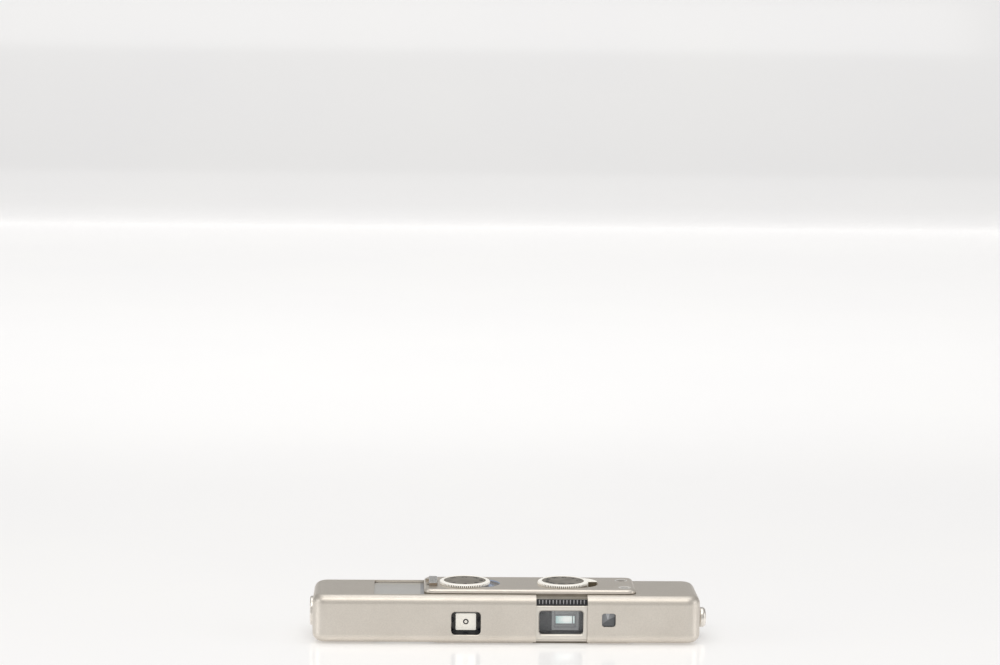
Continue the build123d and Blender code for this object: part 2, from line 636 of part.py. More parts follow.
with BuildPart() as eyepiece_frame:
    block(FINDER_LEFT, FINDER_RIGHT, FINDER_SEAT, FINDER_OUT, FINDER_BOTTOM, STRIP_TOP)
    fillet(edges().filter_by(Axis.X).filter_by(lambda e: e.center().Y > 12), 0.75)
    window_y(FINDER_X + 1.0, FINDER_Z, 9.0, 6.4, 1.0, 11, 13)
keep(eyepiece_frame, "eyepiece_frame")

with BuildPart() as eyepiece_lens:
    window_y(FINDER_X, FINDER_Z, 14.7, 8.1, 0.8, 10.0, 11.3, mode=Mode.ADD)
keep(eyepiece_lens, "eyepiece_lens")

# Light seals under the front and rear frames, against the edges of the floor cover
with BuildPart() as light_seals:
    for seal_y in (-COVER_HALF - 0.7, COVER_HALF):
        block(FINDER_LEFT, FINDER_RIGHT, seal_y, seal_y + 0.7, FLOOR_BOTTOM + 0.09, FINDER_BOTTOM - 0.02)
keep(light_seals, "light_seals")

with BuildPart() as ribbed_strip:
    block(FINDER_LEFT, FINDER_RIGHT, -12.0, -FINDER_SEAT, FINDER_TOP + 0.05, STRIP_TOP)
    for rib in range(RIB_COUNT):
        rib_x = FINDER_LEFT + 0.89 + rib * RIB_PITCH
        block(rib_x, rib_x + RIB_WIDTH, -12.4, -12.0, FINDER_TOP + 0.15, STRIP_TOP - 0.1)
keep(ribbed_strip, "ribbed_strip")

# ---------------------------------------------------------------- light meter and battery
with BuildPart() as meter_frame:
    window_y(METER_X, METER_Z, 5.9, 5.9, 0.4, -13.3, -10.6, mode=Mode.ADD)
    window_y(METER_X, METER_Z, 4.3, 4.3, 0.5, -14, -10)
keep(meter_frame, "meter_frame")

with BuildPart() as light_collector:
    plane = Plane(origin=(METER_X, -10.8, METER_Z), x_dir=(1, 0, 0), z_dir=(0, -1, 0))
    with BuildSketch(plane):
        Rectangle(4.2, 4.2)
    with BuildSketch(plane.offset(1.5)):
        Rectangle(0.5, 0.5)
    loft()
keep(light_collector, "light_collector")

with BuildPart() as photocell:
    window_y(METER_X, METER_Z, 5.0, 5.0, 0.4, -10.5, -9.2, mode=Mode.ADD)
    for lead_z in (METER_Z - 1.2, METER_Z + 1.2):
        bar_y(METER_X, lead_z, -9.2, -7.0, 0.25)
keep(photocell, "photocell")

with BuildPart() as circuit_board:
    block(29.2, 36.0, -6.9, 9.0, 9.6, 10.4)
    for chip_y in (-3.2, 1.2, 5.6):
        block(30.6, 34.4, chip_y, chip_y + 2.4, 10.4, 11.5)
keep(circuit_board, "circuit_board")

with BuildPart() as battery:
    bar_x(0, BATTERY_Z, BATTERY_LEFT, BATTERY_RIGHT, BATTERY_R)
    fillet(edges().filter_by(GeomType.CIRCLE), 0.5)
    for gap_x in (43.6, 48.4, 53.2):
        with Locations(Plane(origin=(gap_x, 0, BATTERY_Z), x_dir=(0, 1, 0), z_dir=(1, 0, 0))):
            Cylinder(BATTERY_R + 1, 0.3, mode=Mode.SUBTRACT)
            Cylinder(BATTERY_R - 0.25, 0.3)
keep(battery, "battery")

with BuildPart() as battery_contacts:
    block(37.7, 38.0, -4.0, 4.0, 3.2, 12.2)
    bar_x(0, BATTERY_Z, 38.0, BATTERY_LEFT - 0.05, 1.5)
    block(58.8, 59.1, -4.0, 4.0, 3.2, 12.2)
    bar_x(0, BATTERY_Z, BATTERY_RIGHT + 0.05, 58.8, 1.5)
keep(battery_contacts, "battery_contacts")

# ---------------------------------------------------------------- film cassette and gate
with BuildPart() as cassette_shell:
    for chamber_x in (TAKE_UP_X, SUPPLY_X):
        post(chamber_x, CHAMBER_Y, CASSETTE_Z0, CASSETTE_Z1, CHAMBER_R)
        post(
            chamber_x, CHAMBER_Y, CASSETTE_Z0 + 0.35, CASSETTE_Z1 - 0.35, CHAMBER_R - 0.5,
            mode=Mode.SUBTRACT,
        )
        post(chamber_x, CHAMBER_Y, CASSETTE_Z0 - 1, CASSETTE_Z1 + 1, SHAFT_R + RUNNING, mode=Mode.SUBTRACT)
    for rail_z in (CASSETTE_Z0, CASSETTE_Z1 - 1.0):
        block(TAKE_UP_X + 3.4, SUPPLY_X - 3.4, 9.5, 10.1, rail_z, rail_z + 1.0)
    block(
        TAKE_UP_X + 3.0, SUPPLY_X - 3.0, FILM_Y - 0.3, FILM_Y + 0.3,
        CASSETTE_Z0 + 0.35, CASSETTE_Z1 - 0.35, mode=Mode.SUBTRACT,
    )
keep(cassette_shell, "cassette_shell")


def spool(x, stem_top):
    """A cassette spool with the film wound on it, on a stem that comes out on top."""
    post(x, CHAMBER_Y, CASSETTE_Z0 + 0.45, CASSETTE_Z1 - 0.45, SPOOL_R)
    post(x, CHAMBER_Y, CASSETTE_Z0 + 0.05, stem_top, SHAFT_R)


with BuildPart() as take_up_spool:
    spool(TAKE_UP_X, 13.6)
keep(take_up_spool, "take_up_spool")

with BuildPart() as supply_spool:
    spool(SUPPLY_X, 12.6)
    block(SUPPLY_X - 2, SUPPLY_X + 2, CHAMBER_Y - 0.2, CHAMBER_Y + 0.2, 12.3, 13, mode=Mode.SUBTRACT)
keep(supply_spool, "supply_spool")

with BuildPart() as film_strip:
    block(TAKE_UP_X, SUPPLY_X, FILM_Y - 0.07, FILM_Y + 0.07, CASSETTE_Z0 + 0.5, CASSETTE_Z1 - 0.5)
keep(film_strip, "film_strip")

with BuildPart() as film_gate:
    block(-23.0, -4.9, 7.0, 7.9, CASSETTE_Z0, 12.1)
    window_y(LENS_X, LENS_Z, 11.0, 8.0, 0.3, 6, 9)
keep(film_gate, "film_gate")

with BuildPart() as dark_chamber:
    block(-22.9, -5.0, -0.9, 6.95, CASSETTE_Z0, 11.6)
    with BuildSketch(Plane(origin=(LENS_X, -0.9, LENS_Z), x_dir=(1, 0, 0), z_dir=(0, -1, 0))):
        RectangleRounded(7.0, 6.0, 0.4)
    with BuildSketch(Plane(origin=(LENS_X, 6.95, LENS_Z), x_dir=(1, 0, 0), z_dir=(0, -1, 0))):
        RectangleRounded(11.2, 8.2, 0.4)
    loft(mode=Mode.SUBTRACT)
keep(dark_chamber, "dark_chamber")

with BuildPart() as pressure_plate:
    block(-21.5, -6.4, FILM_Y + 0.2, FILM_Y + 0.7, 3.7, 10.9)
    fillet(edges().filter_by(Axis.Y), 0.8)
keep(pressure_plate, "pressure_plate")

with BuildPart() as pressure_spring:
    block(-20.5, -7.4, 10.9, 11.1, 5.6, 8.6)
    for foot_x in (-20.5, -8.0):
        block(foot_x, foot_x + 0.6, 11.1, BAY_HALF, 5.6, 8.6)
    bar_y(LENS_X, 7.1, 9.4, 10.9, 0.8)
keep(pressure_spring, "pressure_spring")

# ---------------------------------------------------------------- film transport gears
with BuildPart() as transport_pinion:
    gear(PINION_X, PINION_Y, 5.9, 7.7, PINION_TEETH, 90 + 180 / PINION_TEETH, 0.5)
    gear(PINION_X, PINION_Y, 12.6, 13.3, DRIVER_TEETH, driver_turn, 0.5)
    post(PINION_X, PINION_Y, 3.0, 14.0, 0.8)
    post(PINION_X, PINION_Y, 2.6, 14.4, 0.5)
keep(transport_pinion, "transport_pinion")

with BuildPart() as idler_gear:
    gear(IDLER_X, IDLER_Y, 12.6, 13.3, IDLER_TEETH, idler_phase, 0.6)
    post(IDLER_X, IDLER_Y, 13.3, 13.8, 1.4)
    post(IDLER_X, IDLER_Y, 12, 15, 0.6 + RUNNING, mode=Mode.SUBTRACT)
keep(idler_gear, "idler_gear")

with BuildPart() as take_up_gear:
    gear(TAKE_UP_X, CHAMBER_Y, 12.6, 13.3, TAKE_UP_TEETH, take_up_phase, SHAFT_R)
keep(take_up_gear, "take_up_gear")
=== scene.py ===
"""The looks of the pull-open subminiature camera: metres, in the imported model's own frame."""

import json
import math

import bmesh
import bpy
from mathutils import Matrix, Vector


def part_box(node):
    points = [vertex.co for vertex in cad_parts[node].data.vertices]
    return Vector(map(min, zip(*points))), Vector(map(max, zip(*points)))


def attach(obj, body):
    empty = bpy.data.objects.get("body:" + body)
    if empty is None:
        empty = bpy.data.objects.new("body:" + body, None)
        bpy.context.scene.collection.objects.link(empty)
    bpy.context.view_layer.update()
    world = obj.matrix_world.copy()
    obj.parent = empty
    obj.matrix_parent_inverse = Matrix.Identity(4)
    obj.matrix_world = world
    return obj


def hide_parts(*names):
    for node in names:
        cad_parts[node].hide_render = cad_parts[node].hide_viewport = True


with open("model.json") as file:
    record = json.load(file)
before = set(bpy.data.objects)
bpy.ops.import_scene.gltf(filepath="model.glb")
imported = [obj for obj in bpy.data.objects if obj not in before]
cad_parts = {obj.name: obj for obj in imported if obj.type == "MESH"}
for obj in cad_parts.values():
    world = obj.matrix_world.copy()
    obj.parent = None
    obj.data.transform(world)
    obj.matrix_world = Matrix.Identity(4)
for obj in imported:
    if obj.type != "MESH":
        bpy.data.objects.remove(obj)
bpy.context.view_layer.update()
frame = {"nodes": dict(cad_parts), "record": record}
nodes = frame["nodes"]

MM = 0.001


def box_mm(node):
    """The low and high corners of a CAD node's box, in millimetres."""
    low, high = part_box(node)
    return Vector(low) / MM, Vector(high) / MM


def middle(node):
    """The middle of a CAD node's box, in millimetres."""
    low, high = box_mm(node)
    return (low + high) / 2


# ---------------------------------------- material tools
def new_material(name):
    """A material with only a Principled shader and its output."""
    material = bpy.data.materials.new(name)
    material.use_nodes = True
    tree = material.node_tree
    tree.nodes.clear()
    output = tree.nodes.new("ShaderNodeOutputMaterial")
    shader = tree.nodes.new("ShaderNodeBsdfPrincipled")
    tree.links.new(shader.outputs["BSDF"], output.inputs["Surface"])
    return material, tree, shader


def noise(tree, scale, detail=2.0, roughness=0.5):
    """Noise in the row frame; scale is in features per metre."""
    place = tree.nodes.new("ShaderNodeTexCoord")
    texture = tree.nodes.new("ShaderNodeTexNoise")
    texture.inputs["Scale"].default_value = scale
    texture.inputs["Detail"].default_value = detail
    texture.inputs["Roughness"].default_value = roughness
    tree.links.new(place.outputs["Object"], texture.inputs["Vector"])
    return texture.outputs["Fac"]


def spread(tree, value, low, high, start=0.3, stop=0.7):
    """value, remapped from start..stop to low..high."""
    remap = tree.nodes.new("ShaderNodeMapRange")
    remap.inputs["From Min"].default_value = start
    remap.inputs["From Max"].default_value = stop
    remap.inputs["To Min"].default_value = low
    remap.inputs["To Max"].default_value = high
    tree.links.new(value, remap.inputs["Value"])
    return remap.outputs["Result"]


def blend_colours(tree, value, first, second):
    """A colour between first and second."""
    mix = tree.nodes.new("ShaderNodeMix")
    mix.data_type = "RGBA"
    mix.inputs["A"].default_value = (*first, 1)
    mix.inputs["B"].default_value = (*second, 1)
    tree.links.new(value, mix.inputs["Factor"])
    return mix.outputs["Result"]


def bump(tree, shader, height, strength, depth):
    """Bump of that depth in metres on the shader's normal."""
    node = tree.nodes.new("ShaderNodeBump")
    node.inputs["Strength"].default_value = strength
    node.inputs["Distance"].default_value = depth
    tree.links.new(height, node.inputs["Height"])
    tree.links.new(node.outputs["Normal"], shader.inputs["Normal"])


def principled(material):
    """The material's shader."""
    return material.node_tree.nodes["Principled BSDF"]


def glowing(material, strength):
    """The material, faintly lit from within by its own colour."""
    tree = material.node_tree
    shader = principled(material)
    tree.links.new(shader.inputs["Base Color"].links[0].from_socket, shader.inputs["Emission Color"])
    shader.inputs["Emission Strength"].default_value = strength


def lit(material, colour, strength):
    """The material, faintly lit from within by one colour."""
    principled(material).inputs["Emission Color"].default_value = (*colour, 1)
    principled(material).inputs["Emission Strength"].default_value = strength


PATCHES = 70.0
SPECK = (0.86, 0.86, 0.86)
WHITE = (1, 1, 1)


def metal(name, light, dark, rough, grain, depth, metallic=1.0):
    """Worked metal: fine grain in its relief and roughness, broad faint patches in its colour."""
    material, tree, shader = new_material(name)
    shader.inputs["Metallic"].default_value = metallic
    broad = noise(tree, PATCHES, 4.0, 0.6)
    fine = noise(tree, grain, 2.0, 0.6)
    tone = blend_colours(tree, spread(tree, broad, 0.0, 1.0), dark, light)
    speck = tree.nodes.new("ShaderNodeMix")
    speck.data_type = "RGBA"
    speck.blend_type = "MULTIPLY"
    speck.inputs["Factor"].default_value = 0.55
    tree.links.new(tone, speck.inputs["A"])
    tree.links.new(blend_colours(tree, spread(tree, fine, 0, 1), SPECK, WHITE), speck.inputs["B"])
    tree.links.new(speck.outputs["Result"], shader.inputs["Base Color"])
    tree.links.new(spread(tree, broad, rough + 0.04, rough - 0.03), shader.inputs["Roughness"])
    bump(tree, shader, fine, 0.5, depth)
    return material


def plain(name, light, dark, rough, grain=900.0, depth=4e-6, metallic=0.0, coat=0.0):
    """Paint, plastic or film: two close tones, uneven gloss and a slight texture."""
    material, tree, shader = new_material(name)
    shader.inputs["Metallic"].default_value = metallic
    shader.inputs["Coat Weight"].default_value = coat
    shader.inputs["Coat Roughness"].default_value = 0.08
    cloud = noise(tree, grain * 0.15, 3.0)
    fine = noise(tree, grain, 3.0)
    tree.links.new(blend_colours(tree, spread(tree, cloud, 0, 1), dark, light), shader.inputs["Base Color"])
    tree.links.new(spread(tree, cloud, rough + 0.05, rough - 0.04), shader.inputs["Roughness"])
    bump(tree, shader, fine, 0.4, depth)
    return material


def glass(name, tint, rough=0.02):
    """Clear glass with a trace of dust in its gloss."""
    material, tree, shader = new_material(name)
    shader.inputs["Transmission Weight"].default_value = 1.0
    shader.inputs["IOR"].default_value = 1.5
    cloud = noise(tree, 500.0, 3.0)
    darker = tuple(0.96 * c for c in tint)
    tree.links.new(blend_colours(tree, spread(tree, cloud, 0, 1), tint, darker), shader.inputs["Base Color"])
    tree.links.new(spread(tree, cloud, rough, rough + 0.008), shader.inputs["Roughness"])
    return material


BODY = metal("satin_body", (0.765, 0.715, 0.645), (0.73, 0.68, 0.61), 0.43, 2600.0, 8e-6)
PLATE = metal("satin_plate", (0.80, 0.745, 0.67), (0.765, 0.71, 0.635), 0.38, 2600.0, 6e-6)
COVER = metal("grey_cover", (0.85, 0.835, 0.80), (0.81, 0.795, 0.76), 0.42, 3200.0, 5e-6)
DIAL = metal("dial_metal", (0.99, 0.965, 0.90), (0.95, 0.925, 0.86), 0.33, 3500.0, 2e-6, metallic=0.1)
BRIGHT = metal("polished_metal", (0.88, 0.86, 0.83), (0.82, 0.80, 0.77), 0.16, 2500.0, 2e-7)
FRAME = metal("finder_metal", (0.86, 0.82, 0.75), (0.82, 0.78, 0.71), 0.40, 5200.0, 6e-6)
LEAF = plain("cream_leaf_and_glow", (0.98, 0.94, 0.85), (0.96, 0.92, 0.83), 0.45, 4000.0, 1e-6)
# Painted light: the leaf glows faintly in its cream colour, though it is no lamp, which brightens it at the
# back of the hood.
lit(LEAF, (0.96, 0.93, 0.86), 0.42)
SATIN = metal("satin_stud", (0.90, 0.86, 0.80), (0.85, 0.81, 0.75), 0.27, 5200.0, 2e-6)
STEEL = metal("ground_steel", (0.62, 0.62, 0.63), (0.50, 0.50, 0.52), 0.3, 3500.0, 5e-6)
BRASS = metal("machined_brass", (0.78, 0.60, 0.30), (0.70, 0.52, 0.25), 0.28, 3500.0, 5e-6)
BLACK = plain("black_enamel", (0.020, 0.020, 0.024), (0.010, 0.010, 0.013), 0.34, 1400.0, 4e-6)
HOOD = plain("hood_enamel", (0.006, 0.007, 0.013), (0.003, 0.004, 0.008), 0.16, 1200.0, 1e-6)
principled(HOOD).inputs["Specular IOR Level"].default_value = 0.3
PLASTIC = plain("black_plastic", (0.03, 0.03, 0.03), (0.018, 0.018, 0.018), 0.3, 900.0, 5e-6)
FILM = plain("film_base", (0.20, 0.15, 0.11), (0.15, 0.11, 0.08), 0.25, 700.0, 2e-6)
BOARD = plain("circuit_resin", (0.07, 0.24, 0.12), (0.05, 0.17, 0.09), 0.35, 900.0, 6e-6)
CELL = plain("cell_resin", (0.09, 0.09, 0.13), (0.05, 0.05, 0.08), 0.2, 900.0, 3e-6)
ENAMEL = plain("blue_grey_enamel_and_glow", (0.44, 0.50, 0.62), (0.36, 0.42, 0.53), 0.3, 900.0, 1e-6)
LAMP = plain("lamp_resin", (0.14, 0.19, 0.29), (0.08, 0.11, 0.18), 0.1, 900.0, 1e-6, coat=1.0)
GLASS = glass("clear_glass", (0.93, 0.96, 0.97), 0.0)
GREY_GLASS = glass("grey_glass", (0.25, 0.26, 0.28))


def pane(name, tint, opacity):
    """A thin clear window: faintly tinted, with a sharp reflection and a trace of dust."""
    material, tree, shader = new_material(name)
    dust = noise(tree, 1800.0, 4.0, 0.7)
    dusty = blend_colours(tree, spread(tree, dust, 0, 1), tint, (0.5, 0.5, 0.5))
    tree.links.new(dusty, shader.inputs["Base Color"])
    tree.links.new(spread(tree, dust, opacity, opacity + 0.05, 0.55, 0.8), shader.inputs["Alpha"])
    shader.inputs["Roughness"].default_value = 0.05
    return material


PANE = pane("finder_pane", (0.10, 0.11, 0.13), 0.12)
COUNTER_PANE = pane("counter_pane", (0.25, 0.32, 0.5), 0.15)

SLOT_MATERIALS = {
    "body_metal": BODY, "plate_metal": PLATE, "cover_metal": COVER, "dial_metal": DIAL,
    "bright_metal": BRIGHT, "frame_metal": FRAME, "leaf_metal": LEAF, "dark_frame": BLACK,
    "steel": STEEL, "brass": BRASS, "clear_glass": GLASS, "grey_glass": GREY_GLASS,
    "black_plastic": PLASTIC, "film": FILM, "board": BOARD, "cell": CELL,
    "battery_case": STEEL, "lamp": LAMP,
}
for part in frame["record"]["subparts"]:
    dressed = nodes[part["node"]]
    dressed.data.materials.clear()
    dressed.data.materials.append(SLOT_MATERIALS[part["material_slot"]])
nodes["lens_hood"].data.materials[0] = HOOD
nodes["release_button"].data.materials[0] = DIAL
nodes["light_seals"].data.materials[0] = FRAME
nodes["counter_ring"].data.materials[0] = ENAMEL
nodes["counter_window"].data.materials[0] = COUNTER_PANE
for node in ("finder_front_lens", "eyepiece_lens"):
    nodes[node].data.materials[0] = PANE
for node in ("end_disc", "chain_stud"):
    nodes[node].data.materials[0] = SATIN


# ---------------------------------------- mesh tools
def add_piece(name, verts, faces, material, body, smooth=True, sharp=35.0):
    """A mesh piece, given in millimetres, that rides on a body."""
    mesh = bpy.data.meshes.new(name)
    mesh.from_pydata([Vector(v) * MM for v in verts], [], faces)
    mesh.validate()
    shape = bmesh.new()
    shape.from_mesh(mesh)
    bmesh.ops.remove_doubles(shape, verts=shape.verts, dist=1e-8)
    bmesh.ops.recalc_face_normals(shape, faces=shape.faces)
    for face in shape.faces:
        face.smooth = smooth
    for edge in shape.edges:
        if smooth and len(edge.link_faces) == 2 and edge.calc_face_angle(0) > math.radians(sharp):
            edge.smooth = False
    shape.to_mesh(mesh)
    shape.free()
    mesh.materials.append(material)
    piece = bpy.data.objects.new(name, mesh)
    bpy.context.scene.collection.objects.link(piece)
    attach(piece, body)
    return piece


def box_shape(x0, x1, y0, y1, z0, z1):
    """The corners and faces of a box."""
    verts = [(x, y, z) for x in (x0, x1) for y in (y0, y1) for z in (z0, z1)]
    faces = [(0, 1, 3, 2), (4, 6, 7, 5), (0, 4, 5, 1), (2, 3, 7, 6), (0, 2, 6, 4), (1, 5, 7, 3)]
    return verts, faces


def add_box(name, spans, material, body, smooth=False):
    """A box piece: spans are (x0, x1, y0, y1, z0, z1) in millimetres."""
    verts, faces = box_shape(*spans)
    return add_piece(name, verts, faces, material, body, smooth=smooth)


def skin(loops):
    """The corners and faces of a closed skin over loops of equal length, the last joined to the first."""
    verts = [point for loop in loops for point in loop]
    count = len(loops[0])
    faces = []
    for ring in range(len(loops)):
        here, there = ring * count, (ring + 1) % len(loops) * count
        for step in range(count):
            after = (step + 1) % count
            faces.append((here + step, here + after, there + after, there + step))
    return verts, faces


def soften(piece, width, segments=2):
    """Rounds a piece's edges by width, in millimetres."""
    bevel = piece.modifiers.new("soft_edges", "BEVEL")
    bevel.width = width * MM
    bevel.segments = segments
    bevel.limit_method = "ANGLE"
    bevel.angle_limit = math.radians(40)
    bevel.harden_normals = True
    return piece


def lathe(centre_x, centre_y, profile, segments, dip=None):
    """A solid turned about Z: profile is (radius, z, how far dip cuts in), from the bottom to the top."""
    verts, faces, rings = [], [], []
    for radius, z, *cut in profile:
        if radius == 0:
            rings.append([len(verts)])
            verts.append((centre_x, centre_y, z))
            continue
        ring = []
        for step in range(segments):
            turn = 2 * math.pi * step / segments
            reach = radius - (dip(step) * cut[0] if dip and cut else 0)
            ring.append(len(verts))
            verts.append((centre_x + reach * math.cos(turn), centre_y + reach * math.sin(turn), z))
        rings.append(ring)
    for low, high in zip(rings, rings[1:]):
        for step in range(segments):
            after = (step + 1) % segments
            if len(low) == 1:
                faces.append((low[0], high[after], high[step]))
            elif len(high) == 1:
                faces.append((low[step], low[after], high[0]))
            else:
                faces.append((low[step], low[after], high[after], high[step]))
    return verts, faces


def merged(shapes):
    """Several (verts, faces) as one."""
    verts, faces = [], []
    for more_verts, more_faces in shapes:
        first = len(verts)
        verts.extend(more_verts)
        faces.extend(tuple(first + index for index in face) for face in more_faces)
    return verts, faces


def pipe_y(x, z, y0, y1, profile, segments=48):
    """A solid turned about a line along Y: profile is (radius, share of the way from y0 to y1)."""
    turned, faces = lathe(0, 0, [(r, share) for r, share in profile], segments)
    verts = [(x + vx, y0 + (y1 - y0) * vz, z + vy) for vx, vy, vz in turned]
    return verts, faces


# ---------------------------------------- dials
KNURLS = 80
KNURL_STEPS = (0.0, 0.0, 0.0, 0.7, 1.0, 0.7)
KNURL_DEPTH = 0.36
RING_STEPS = 8
RING_WIDTH = 1.25
DIAL_LOW = box_mm("focus_dial")[0][2]
DIAL_R = (box_mm("focus_dial")[1][0] - box_mm("focus_dial")[0][0]) / 2
FACE_R = DIAL_R - 1.38
FACE_TOP = DIAL_LOW + 0.86


def turned_face(name, light, dark, centre_x):
    """A lathe-turned number face with fine rings and a worn, mottled tone."""
    material, tree, shader = new_material(name)
    place = tree.nodes.new("ShaderNodeTexCoord")
    shift = tree.nodes.new("ShaderNodeMapping")
    shift.inputs["Location"].default_value = (-centre_x * MM, 0, 0)
    tree.links.new(place.outputs["Object"], shift.inputs["Vector"])
    rings = tree.nodes.new("ShaderNodeTexWave")
    rings.wave_type = "RINGS"
    rings.rings_direction = "Z"
    rings.inputs["Scale"].default_value = 1100.0
    rings.inputs["Distortion"].default_value = 0.4
    tree.links.new(shift.outputs["Vector"], rings.inputs["Vector"])
    cloud = noise(tree, 260.0, 4.0, 0.65)
    tree.links.new(blend_colours(tree, spread(tree, cloud, 0, 1), dark, light), shader.inputs["Base Color"])
    tree.links.new(spread(tree, cloud, 0.5, 0.42), shader.inputs["Roughness"])
    shader.inputs["Metallic"].default_value = 0.7
    bump(tree, shader, rings.outputs["Fac"], 0.3, 4e-6)
    return material


NUMERAL_SIZES = {1: 2.1, 2: 1.8, 3: 1.5, 4: 1.15}
NUMERAL_R = FACE_R - 1.55
# Ticks are (inner radius, length, width).
LONG_TICK = (FACE_R - 0.62, 0.48, 0.22)
SHORT_TICK = (FACE_R - 0.5, 0.36, 0.12)


def numeral_shape(text, size, radius, turn, centre_x):
    """Raised numerals, read from outside the dial, at a radius and a turn in degrees."""
    curve = bpy.data.curves.new("numeral", "FONT")
    curve.body = text
    curve.size = size
    curve.align_x = "CENTER"
    curve.align_y = "CENTER"
    curve.extrude = 0.008
    curve.offset = 0.07
    curve.resolution_u = 3
    holder = bpy.data.objects.new("numeral", curve)
    bpy.context.scene.collection.objects.link(holder)
    mesh = bpy.data.meshes.new_from_object(holder)
    angle = math.radians(turn)
    place = Matrix.Translation((
        centre_x + radius * math.cos(angle),
        radius * math.sin(angle),
        FACE_TOP + 0.008,
    )) @ Matrix.Rotation(angle + math.pi / 2, 4, "Z")
    verts = [tuple(place @ v.co) for v in mesh.vertices]
    faces = [tuple(p.vertices) for p in mesh.polygons]
    bpy.data.objects.remove(holder)
    bpy.data.curves.remove(curve)
    bpy.data.meshes.remove(mesh)
    return verts, faces


def tick_shape(radius, length, width, turn, centre_x):
    """A short raised radial line on the number face."""
    spans = (radius, radius + length, -width / 2, width / 2, FACE_TOP - 0.02, FACE_TOP + 0.016)
    verts, faces = box_shape(*spans)
    place = Matrix.Translation((centre_x, 0, 0)) @ Matrix.Rotation(math.radians(turn), 4, "Z")
    return [tuple(place @ Vector(v)) for v in verts], faces


SHADE = plain("groove_shade", (0.09, 0.075, 0.055), (0.06, 0.05, 0.035), 0.5, 2000.0, 1e-6)


def build_dial(node, body, labels, first_turn, turn_step, ticks_between):
    """A knurled dial with a sunk number face, numerals and graduations."""
    x = middle(node)[0]
    profile = [
        (0, DIAL_LOW),
        (DIAL_R - 0.12, DIAL_LOW, 1),
        (DIAL_R - 0.02, DIAL_LOW + 0.05, 1),
        (DIAL_R, DIAL_LOW + 0.30, 1),
        (DIAL_R - 0.02, DIAL_LOW + 0.50, 0.9),
    ]
    for step in range(RING_STEPS + 1):
        turn = math.pi / 2 * step / RING_STEPS
        profile.append((
            DIAL_R - 0.06 - (RING_WIDTH - 0.06) * (1 - math.cos(turn)),
            DIAL_LOW + 0.56 + 0.44 * math.sin(turn),
            max(0.0, 0.6 - 1.2 * step / RING_STEPS),
        ))
    profile += [
        (FACE_R + 0.06, DIAL_LOW + 0.96),
        (FACE_R, DIAL_LOW + 0.88),
        (FACE_R, DIAL_LOW + 0.7),
        (0, DIAL_LOW + 0.7),
    ]
    steps = len(KNURL_STEPS)
    verts, faces = lathe(x, 0, profile, KNURLS * steps, lambda step: KNURL_DEPTH * KNURL_STEPS[step % steps])
    ring = add_piece(f"{node}_ring", verts, faces, DIAL, body, sharp=50.0)
    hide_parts(node)
    # A dark ring behind the knurl: painted shade that shows in the notches between the teeth.
    groove_profile = [
        (0, DIAL_LOW + 0.02),
        (DIAL_R - 0.16, DIAL_LOW + 0.02),
        (DIAL_R - 0.16, DIAL_LOW + 0.54),
        (DIAL_R - 0.30, DIAL_LOW + 0.60),
        (0, DIAL_LOW + 0.60),
    ]
    verts, faces = lathe(x, 0, groove_profile, 160)
    add_piece(f"{node}_groove", verts, faces, SHADE, body)
    face_profile = [
        (0, DIAL_LOW + 0.71),
        (FACE_R - 0.02, DIAL_LOW + 0.71),
        (FACE_R - 0.02, FACE_TOP - 0.03),
        (FACE_R - 0.05, FACE_TOP),
        (0, FACE_TOP),
    ]
    face_metal = turned_face(f"{node}_face_metal", (0.38, 0.35, 0.30), (0.26, 0.235, 0.20), x)
    verts, faces = lathe(x, 0, face_profile, 96)
    add_piece(f"{node}_face", verts, faces, face_metal, body)
    marks = []
    for index, label in enumerate(labels):
        turn = first_turn + turn_step * index
        marks.append(numeral_shape(label, NUMERAL_SIZES[len(label)], NUMERAL_R, turn, x))
        marks.append(tick_shape(*LONG_TICK, turn, x))
        for part in range(1, ticks_between + 1):
            between = turn + turn_step * part / (ticks_between + 1)
            marks.append(tick_shape(*SHORT_TICK, between, x))
    verts, faces = merged(marks)
    add_piece(f"{node}_marks", verts, faces, INK, body, smooth=False)


INK = plain("black_ink", (0.012, 0.012, 0.012), (0.006, 0.006, 0.006), 0.45, 2000.0, 1e-6)
RED = plain("red_ink", (0.55, 0.02, 0.015), (0.42, 0.015, 0.01), 0.4, 2000.0, 1e-6)
build_dial("focus_dial", "focus", ("0.2", "0.3", "0.4", "0.6", "1", "2", "4", "8"), 0.0, 45.0, 2)
build_dial("speed_dial", "speed", ("2", "5", "10", "20", "50", "100", "200", "500", "1000"), 10.0, 36.0, 1)

FOCUS_X = middle("focus_dial")[0]
dot_profile = [(0, FACE_TOP - 0.02), (0.24, FACE_TOP - 0.02), (0.24, FACE_TOP + 0.02), (0, FACE_TOP + 0.03)]
verts, faces = lathe(FOCUS_X, -FACE_R + 0.45, dot_profile, 24)
add_piece("focus_index_dot", verts, faces, RED, "focus")

# ---------------------------------------- stud in the middle of the front shutter leaf
LENS_X, _, _ = middle("lens_hood")
# The stud stays behind this plane, so that it clears the hood.
HOOD_CLEARANCE_Y = -10.36
LEAF_FRONT = max(box_mm("opening_leaf")[0][1], HOOD_CLEARANCE_Y)
LEAF_Z = 6.93
ring_profile = [(0, 1.0), (0.90, 1.0), (0.90, 0.25), (0.82, 0.0), (0.50, 0.05), (0.32, 0.55), (0, 0.6)]
verts, faces = pipe_y(LENS_X, LEAF_Z, LEAF_FRONT - 0.12, LEAF_FRONT + 0.12, ring_profile)
SMOKE = plain("smoked_ring", (0.07, 0.07, 0.075), (0.04, 0.04, 0.045), 0.25, 2000.0, 1e-6, metallic=0.6)
add_piece("leaf_ring", verts, faces, SMOKE, "first_leaf")
core_profile = [(0, 1.0), (0.30, 1.0), (0.30, 0.35), (0.2, 0.08), (0, 0.0)]
verts, faces = pipe_y(LENS_X, LEAF_Z, LEAF_FRONT - 0.10, LEAF_FRONT + 0.05, core_profile)
add_piece("leaf_core", verts, faces, BRIGHT, "first_leaf")

